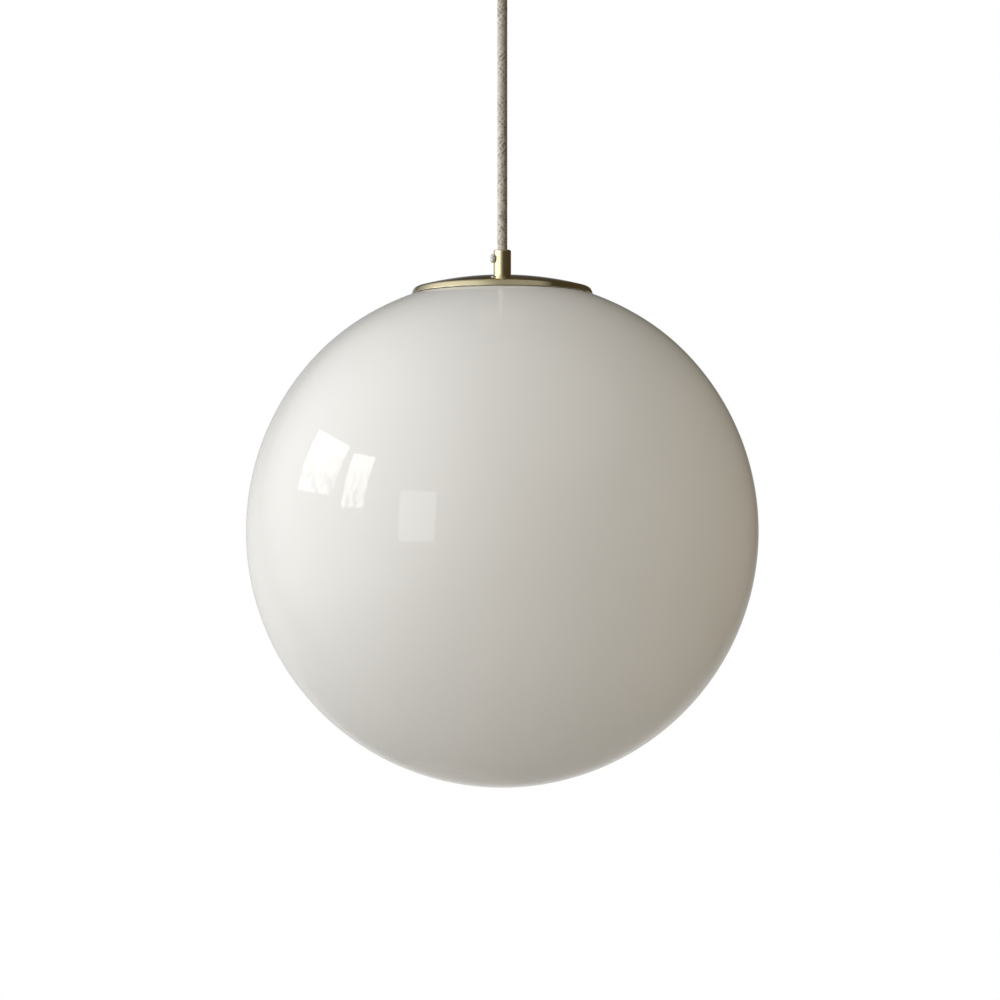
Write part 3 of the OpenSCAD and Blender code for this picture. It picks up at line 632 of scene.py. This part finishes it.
def make_brass():
    """The cap, both grips, the canopy and the four screws in their sides."""
    make_cap()
    grip = turned("lamp_cord_grip", grip_profile(GRIP_LOW[2], GRIP_HIGH[2]), 96)
    settle(grip, SATIN_BRASS, "lamp", "polished_brass", "cord_grip")
    top_grip = turned("canopy_cord_grip", grip_profile(TOP_GRIP_HIGH[2], TOP_GRIP_LOW[2]), 96)
    settle(top_grip, SATIN_BRASS, "ceiling", "polished_brass", "canopy_grip")
    canopy = turned("brass_canopy", canopy_profile(), 160)
    settle(canopy, POLISHED_BRASS, "ceiling", "polished_brass", "canopy")
    make_clamp_screw("lamp_nylon_screw", "lamp_clamp_screw", "cord_grip_screw")
    make_clamp_screw("canopy_nylon_screw", "canopy_clamp_screw", "canopy_grip_screw")
    make_thumb_screw("thumb_screw_left", "canopy_thumbscrew_left", "canopy_screw_left")
    make_thumb_screw("thumb_screw_right", "canopy_thumbscrew_right", "canopy_screw_right")


# ---------- braided cord ----------

BRAID_STRANDS = 12
BRAID_PITCH = 0.022
BRAID_DEPTH = 0.00038


def braid_pattern(angle, height):
    """Height of the braid from 0 to 1, and how light its yarn is, painted shade included. Two families
    of yarn wind round the cord in opposite senses, so that each point has a place u across one family
    and v across the other. Where floor(u) + floor(v) is even the first family lies on top, and
    elsewhere the second. The upper yarn is a half-round ridge that dips where it dives under its
    neighbours, and its colour is painted darker down its sides and in the dips, as painted shade.
    Every five crossings a yarn takes another tone: the fraction of a large multiple of a sine, which
    scatters."""
    around = BRAID_STRANDS * angle / TAU
    along = BRAID_STRANDS * height / BRAID_PITCH
    u, v = around + along, around - along
    first = (np.floor(u) + np.floor(v)) % 2 == 0
    across = np.where(first, u % 1, v % 1) - 0.5
    lengthwise = np.where(first, v % 1, u % 1) - 0.5
    ridge = np.sqrt(np.clip(1 - (1.86 * across) ** 2, 0, 1))
    arch = np.cos(np.pi * lengthwise) ** 0.7
    plies = 0.06 * np.cos(TAU * (3 * across + 1.2 * lengthwise))
    strand = np.where(first, np.floor(u), np.floor(v) + 57) % (2 * BRAID_STRANDS)
    stretch = np.floor(np.where(first, v, u) / 5)
    shade = np.sin(strand * 12.9898 + stretch * 4.7) * 43758.5453 % 1
    # Painted shade: the ridge and arch term makes the yarn lighter on its crown and darker down its sides and
    # where it dives under its neighbours. The rest is each yarn's own tone, with a few dark yarns.
    light = 0.24 + 0.30 * shade - 0.22 * (shade < 0.12) + 0.28 * ridge * arch
    return ridge * (0.45 + 0.55 * arch) + plies * ridge, light


def add_map(mesh, name, values):
    """A UV map from one pair of values per vertex."""
    layer = mesh.uv_layers.new(name=name)
    corner = np.empty(len(mesh.loops), int)
    mesh.loops.foreach_get("vertex_index", corner)
    layer.data.foreach_set("uv", values[corner].astype(np.float32).ravel())


def make_cord_length(name, top, bottom):
    """A straight length of braided cord round the Z axis. Its radius is the cord's less the depth of
    the braid where the pattern is low, and both ends are closed by a point on the axis. Heights are
    true, so that the braid runs on unbroken from one length to the next."""
    columns, step = 96, 0.00033
    rows = int(round((top - bottom) / step)) + 1
    height = np.linspace(top, bottom, rows)[:, None]
    angle = (np.arange(columns) * TAU / columns)[None, :]
    level, light = braid_pattern(angle, height)
    radius = CORD_R - BRAID_DEPTH * (1 - level)
    tall = np.broadcast_to(height, radius.shape)
    grid = np.stack([radius * np.cos(angle), radius * np.sin(angle), tall], -1).reshape(-1, 3)
    points = np.concatenate([grid, [[0, 0, top], [0, 0, bottom]]])
    piece = new_mesh(name, points, capped_rings(rows, columns), 80)
    # The yarn attribute carries each yarn's tone and the painted shade in the braid's hollows.
    yarn = piece.data.attributes.new("yarn", "FLOAT", "POINT")
    yarn.data.foreach_set("value", np.append(light.ravel(), [0.4, 0.4]).astype(np.float32))
    around = np.broadcast_to(angle / TAU, radius.shape).ravel()
    along = (tall / BRAID_PITCH).ravel()
    pairs = np.stack([np.append(around, [0, 0]), np.append(along, [0, 0])], -1)
    add_map(piece.data, "braid", pairs)
    return piece


def make_cord():
    """Two straight lengths of one cord, and its end in the lamp's grip. The first runs from the ceiling
    to the cord's upper link, and the second from that link to the hanging cord."""
    seam = CORD_TOP - 0.0185
    inside = low_high("cord_tail")[1][2]
    mouth = CORD_TOP + CORD_ROUTE[-1, 2]
    upper = make_cord_length("braided_cord_top", inside, seam)
    settle(upper, LINEN_BRAID, None, "cord_textile", "cord_upper", "cord_tail")
    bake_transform(upper)
    lower = make_cord_length("braided_cord", seam, mouth - 0.0015)
    settle(lower, LINEN_BRAID, None, "cord_textile", "cord_lower")
    clamped = make_cord_length("braided_cord_end", mouth - 0.0017, low_high("cord_end")[0][2])
    settle(clamped, LINEN_BRAID, "lamp", "cord_textile", "cord_end")
    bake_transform(lower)
    # The route from where the sheath is cut in the canopy to the seam
    upper_path = [(0, 0, inside), (0, 0, CORD_TOP + 0.012), (0, 0, CORD_TOP + 0.006)]
    upper_path += [(0, 0, CORD_TOP + z) for z in CORD_ROUTE[:2, 2]] + [(0, 0, seam)]
    return upper, lower


# ---------- wiring in the canopy ----------

def cubic(points, steps):
    """Points of a cubic curve from its four controls, weights (1-t)^3, 3t(1-t)^2, 3t^2(1-t), t^3."""
    t = np.linspace(0, 1, steps)[:, None]
    a, b, c, d = (np.asarray(p, float)[None] for p in points)
    return a * (1 - t) ** 3 + b * 3 * t * (1 - t) ** 2 + c * 3 * t**2 * (1 - t) + d * t**3


def swept_tube(name, path, radius):
    """A round tube along a path, each ring square to the path, with closed ends. The rings' frames are
    the cross products of the direction with a fixed level line that the path never follows."""
    along = np.gradient(path, axis=0)
    along /= np.linalg.norm(along, axis=1, keepdims=True)
    side = np.cross(along, [1.0, 0, 0])
    side /= np.linalg.norm(side, axis=1, keepdims=True)
    up = np.cross(side, along)
    columns = 20
    angle = np.arange(columns) * TAU / columns
    ring = np.cos(angle)[None, :, None] * side[:, None] + np.sin(angle)[None, :, None] * up[:, None]
    grid = (path[:, None] + radius * ring).reshape(-1, 3)
    rows = len(path)
    piece = new_mesh(name, np.concatenate([grid, path[[0, -1]]]), capped_rings(rows, columns), 60)
    around = np.tile(angle / TAU, rows)
    run = np.repeat(np.linspace(0, 1, rows), columns)
    pairs = np.stack([np.append(around, [0, 0]), np.append(run, [0, 1])], -1)
    add_map(piece.data, "wire", pairs)
    return piece


def make_feed_wire(name, start, side, material, slot, node):
    """A wire from inside the cord's sheath that passes under the terminal block and rises into it."""
    low, high = low_high("terminal_block")
    tail = low_high("cord_tail")[1][2]
    pitch = (high[0] - low[0]) / 2 - 0.0055
    pole = high[2] - 0.008
    begin = np.array([*start, tail - 0.0008])
    straight = np.array([*start, tail + 0.0005])
    bend = np.array([side * 0.0095, -0.0135, tail + 0.0045])
    rise = cubic([straight, straight + [0, 0, 0.0029], [side * 0.005, -0.008, tail + 0.0032], bend], 20)
    under = [side * 0.011, -0.017, tail + 0.0058]
    enter = cubic([bend, under, [side * pitch, -0.015, pole], [side * pitch, -0.005, pole]], 20)
    wire = swept_tube(name, np.concatenate([begin[None], rise, enter[1:]]), WIRE_R)
    settle(wire, material, "ceiling", slot, node)


def make_wires():
    """The cord's three cores, from the sheath's end into the terminal block."""
    make_feed_wire("live_wire", (-0.0014, 0.0008), -1, BROWN_PVC, "brown_pvc", "feed_wire_live")
    make_feed_wire("neutral_wire", (0.0, -0.0016), 0, BLUE_PVC, "blue_pvc", "feed_wire_neutral")
    make_feed_wire("earth_wire", (0.0014, 0.0008), 1, GREEN_YELLOW_PVC, "green_pvc", "feed_wire_earth")


# ---------- finishes of the CAD nodes that stay ----------

NODE_FINISHES = {
    "ceiling_bracket": ZINC_STEEL, "earth_screw": RAW_BRASS, "terminal_block": WHITE_NYLON,
    "terminal_screws": ZINC_STEEL, "block_screw": ZINC_STEEL, "canopy_washer": ZINC_STEEL,
    "canopy_nut": RAW_BRASS, "canopy_nipple": ZINC_STEEL, "threaded_tube": ZINC_STEEL,
    "cap_washer": ZINC_STEEL, "cap_nut": RAW_BRASS,
    "glass_gasket": SILICONE, "holder_hub": ZINC_STEEL, "hub_nut": RAW_BRASS, "arm_pins": ZINC_STEEL,
    "arm_springs": SPRING_STEEL, "arm_1": SPRING_STEEL, "arm_2": SPRING_STEEL, "arm_3": SPRING_STEEL,
    "arm_sleeve_1": SILICONE, "arm_sleeve_2": SILICONE, "arm_sleeve_3": SILICONE,
    "lampholder_cap": BLACK_THERMOSET, "lampholder_barrel": BLACK_THERMOSET,
    "lampholder_insulator": STEATITE, "lampholder_terminals": RAW_BRASS, "socket_shell": RAW_BRASS,
    "centre_contact": RAW_BRASS, "lamp_wire_live": BROWN_PVC, "lamp_wire_neutral": BLUE_PVC,
    "lamp_wire_earth": GREEN_YELLOW_PVC, "bulb_tip": BRIGHT_NICKEL, "bulb_bead": BLACK_GLASS,
    "bulb_base": BRIGHT_NICKEL, "bulb_collar": WHITE_SHELL, "bulb_led_board": CIRCUIT_BOARD,
    "bulb_driver_board": CIRCUIT_BOARD, "bulb_diffuser": FROSTED_DOME,
}


def finish_nodes():
    """Puts the finishes on the CAD nodes that stay."""
    for node, material in NODE_FINISHES.items():
        piece = frame["nodes"][node]
        for held in piece.material_slots:
            held.material = material
        if not piece.material_slots:
            piece.data.materials.append(material)


# ---------- room, lights and camera ----------

CAMERA_AWAY = 1.541
LENS = 80.8
SHIFT = (-0.0023, 0.0313)
LIGHT_AWAY = 2.4
DAYLIGHT = (1.0, 0.99, 0.97)
WARM_LIGHT = (1.0, 0.90, 0.73)
COOL_LIGHT = (0.93, 0.97, 1.0)
BRIGHT_SIDE = (-0.93, -0.28, 0.25)
CEILING_SIDE = (0.20, -0.50, 0.84)
FAR_SIDE = (-0.30, 0.82, -0.49)
# Shares of the way from the dark side to the bright one, and the room's colour there
ROOM_TONES = (
    (0.50, (0.050, 0.040, 0.026)),
    (0.62, (0.085, 0.075, 0.058)),
    (0.70, (0.27, 0.26, 0.235)),
    (0.78, (0.38, 0.38, 0.365)),
    (0.86, (0.64, 0.64, 0.63)),
)
DARK_SIDE_TONE = (0.05, 0.038, 0.022)
BRIGHT_SIDE_TONE = (0.90, 0.90, 0.90)
FLOOR_R = 4.7
FLOOR_DROP = 1.5


def make_camera():
    """A long lens level with the globe's middle."""
    data = bpy.data.cameras.new("camera")
    data.sensor_width, data.lens = 36.0, LENS
    data.shift_x, data.shift_y = SHIFT
    data.clip_start, data.clip_end = 0.05, 50.0
    camera = bpy.data.objects.new("camera", data)
    camera.location = (0, -CAMERA_AWAY, GLOBE_Z)
    camera.rotation_euler = (np.pi / 2, 0, 0)
    bpy.context.collection.objects.link(camera)
    bpy.context.scene.camera = camera


def facing(direction):
    """The turn of a light seen from the globe along a direction, so that it shines back at the globe."""
    away = np.array(direction, float) / np.linalg.norm(direction)
    across = np.cross((0, 0, 1), away)
    across /= np.linalg.norm(across)
    turn = np.eye(4)
    turn[:3, 0], turn[:3, 1], turn[:3, 2] = across, np.cross(away, across), away
    return turn


def level_direction(azimuth, elevation):
    """A direction from the globe: azimuth from -X towards -Y, elevation up, in degrees."""
    a, e = np.radians(azimuth), np.radians(elevation)
    return np.array([-np.cos(a) * np.cos(e), -np.sin(a) * np.cos(e), np.sin(e)])


def area_light(name, direction, size, radiance, colour):
    """A rectangular light of a given brightness: its power is pi times its area times its radiance."""
    data = bpy.data.lights.new(name, "AREA")
    data.shape, data.size, data.size_y = "RECTANGLE", size[0], size[1]
    data.energy, data.color = np.pi * size[0] * size[1] * radiance, colour
    light = bpy.data.objects.new(name, data)
    turn = facing(direction)
    turn[:3, 3] = np.array([0, 0, GLOBE_Z]) + turn[:3, 2] * LIGHT_AWAY
    light.matrix_world = turn.T.tolist()
    light.visible_camera = False
    bpy.context.collection.objects.link(light)
    return light


def leafy(light, seed):
    """Mottles a window pane from its middle down, as trees outside it do."""
    light.data.use_nodes = True
    tree = light.data.node_tree
    place = add(tree, "NewGeometry").outputs["Parametric"]
    clumps = {"Vector": place, "Scale": 6.0, "Detail": 5.0, "W": seed}
    leaves = add(tree, "TexNoise", clumps, noise_dimensions="4D").outputs["Fac"]
    dark = remap(tree, leaves, (0.40, 0.58), (1.0, 0.2))
    height = add(tree, "SeparateXYZ", {"Vector": place}).outputs["Y"]
    low = remap(tree, height, (0.25, 0.85), (1.0, 0.0))
    shade = add(tree, "Mix", {"Factor": low, 2: 1.0, 3: dark}).outputs[0]
    tree.links.new(shade, tree.nodes["Emission"].inputs["Strength"])


def glow(name, direction, strength, colour, pieces, spread=150):
    """Soft light that reaches only the given pieces, from a side as wide as its spread in degrees, and
    leaves no reflection. On the globe it stands for light that has entered the opal glass."""
    data = bpy.data.lights.new(name, "SUN")
    data.energy, data.color, data.angle, data.use_shadow = strength, colour, np.radians(spread), False
    light = bpy.data.objects.new(name, data)
    light.matrix_world = facing(direction).T.tolist()
    light.visible_glossy = light.visible_camera = False
    bpy.context.collection.objects.link(light)
    only = bpy.data.collections.new(name + "_reaches")
    for piece in pieces:
        only.objects.link(piece)
    light.light_linking.receiver_collection = only


def make_lights(globe, cord):
    """Two panes of a window at the left, a dim panel nearer the camera, the glass's inner glow, and the
    window's soft light along one side of the cord."""
    behind = area_light("pane_behind", level_direction(0.2, 20.4), (0.95, 0.74), 3.6, DAYLIGHT)
    leafy(behind, 1.7)
    in_front = area_light("pane_in_front", level_direction(23.3, 17.5), (0.48, 0.80), 4.6, DAYLIGHT)
    leafy(in_front, 4.2)
    area_light("panel_in_front", level_direction(54.2, 5.9), (0.66, 0.84), 1.5, COOL_LIGHT)
    glow("glow_left", (-1.0, -0.15, -0.35), 0.26, DAYLIGHT, [globe])
    glow("glow_right", (1.0, -0.15, -0.35), 1.08, WARM_LIGHT, [globe])
    glow("glow_below", (-0.2, -0.2, -1.0), 0.66, WARM_LIGHT, [globe])
    glow("glow_above", (-0.5, -0.1, 1.0), 0.36, DAYLIGHT, [globe])
    glow("glow_on_cord", (-1.0, -0.3, 0.1), 1.5, DAYLIGHT, cord, 40)


def lobe(tree, way, side, edges, tone):
    """A soft patch of the room's colour round one side. edges are the cosines, between a direction and
    the side's, where the patch begins and where it is full."""
    near = add(tree, "VectorMath", {0: way, 1: side}, operation="DOT_PRODUCT").outputs["Value"]
    share = remap(tree, near, edges, interpolation_type="SMOOTHSTEP")
    return two_tones(tree, share, (0, 0, 0), tone)


def make_world():
    """White behind the object, and for its light a room that is bright at the left, paler overhead and
    low behind, and dark and warm at the right. The brightness follows the cosine of the angle between
    a direction and the bright side's, and the patches lie over it where they are lighter."""
    world = bpy.data.worlds.new("room")
    bpy.context.scene.world = world
    world.use_nodes = True
    tree = world.node_tree
    tree.nodes.clear()
    way = add(tree, "TexCoord").outputs["Generated"]
    near = add(tree, "VectorMath", {0: way, 1: BRIGHT_SIDE}, operation="DOT_PRODUCT").outputs["Value"]
    tones = add(tree, "ValToRGB", {"Fac": remap(tree, near, (-1.0, 1.0))})
    stops = tones.color_ramp
    stops.interpolation = "B_SPLINE"
    stops.elements[0].color = (*DARK_SIDE_TONE, 1)
    stops.elements[1].color = (*BRIGHT_SIDE_TONE, 1)
    for place, tone in ROOM_TONES:
        stops.elements.new(place).color = (*tone, 1)
    overhead = lobe(tree, way, CEILING_SIDE, (0.71, 0.93), (0.28, 0.275, 0.26))
    behind = lobe(tree, way, FAR_SIDE, (0.56, 0.95), (0.55, 0.545, 0.53))
    patches = blended(tree, "ADD", overhead, behind)
    light = blended(tree, "LIGHTEN", tones.outputs["Color"], patches)
    room = add(tree, "Background", {"Color": light, "Strength": 1.3})
    backdrop = add(tree, "Background", {"Color": (1, 1, 1, 1), "Strength": 1.0})
    seen = add(tree, "LightPath").outputs["Is Camera Ray"]
    both = add(tree, "MixShader", {"Fac": seen})
    tree.links.new(room.outputs["Background"], both.inputs[1])
    tree.links.new(backdrop.outputs["Background"], both.inputs[2])
    output = add(tree, "OutputWorld")
    tree.links.new(both.outputs["Shader"], output.inputs["Surface"])


def make_floor():
    """A wide pale floor, well below the light, that fades out towards its edge."""
    count = 96
    k = np.arange(count)
    depth = GLOBE_Z - FLOOR_DROP
    angle = k * TAU / count
    ring = np.stack([FLOOR_R * np.cos(angle), FLOOR_R * np.sin(angle), np.full(count, depth)], -1)
    points = np.concatenate([ring, [[0, 0, depth]]])
    faces = fan(0, count, count)[:, :3]
    mesh = bpy.data.meshes.new("floor")
    mesh.from_pydata(points.tolist(), [], faces.tolist())
    floor = bpy.data.objects.new("floor", mesh)
    bpy.context.collection.objects.link(floor)
    pale = moulded("pale_floor", (0.72, 0.70, 0.67), (0.77, 0.75, 0.72), (0.7, 0.85), 60.0, 1e-4)
    tree = pale.node_tree
    place = add(tree, "TexCoord").outputs["Object"]
    away = add(tree, "VectorMath", {0: place}, operation="LENGTH").outputs["Value"]
    fade = remap(tree, away, (2.2, 4.6), (1.0, 0.0))
    tree.links.new(fade, tree.nodes["Principled BSDF"].inputs["Alpha"])
    mesh.materials.append(pale)


def main():
    """Makes every piece, then the room round them."""
    bpy.context.scene.view_settings.view_transform = "Standard"
    make_camera()
    cord = make_cord()
    globe = make_globe()
    make_brass()
    make_wires()
    finish_nodes()
    make_lights(globe, cord)
    make_world()
    make_floor()


main()
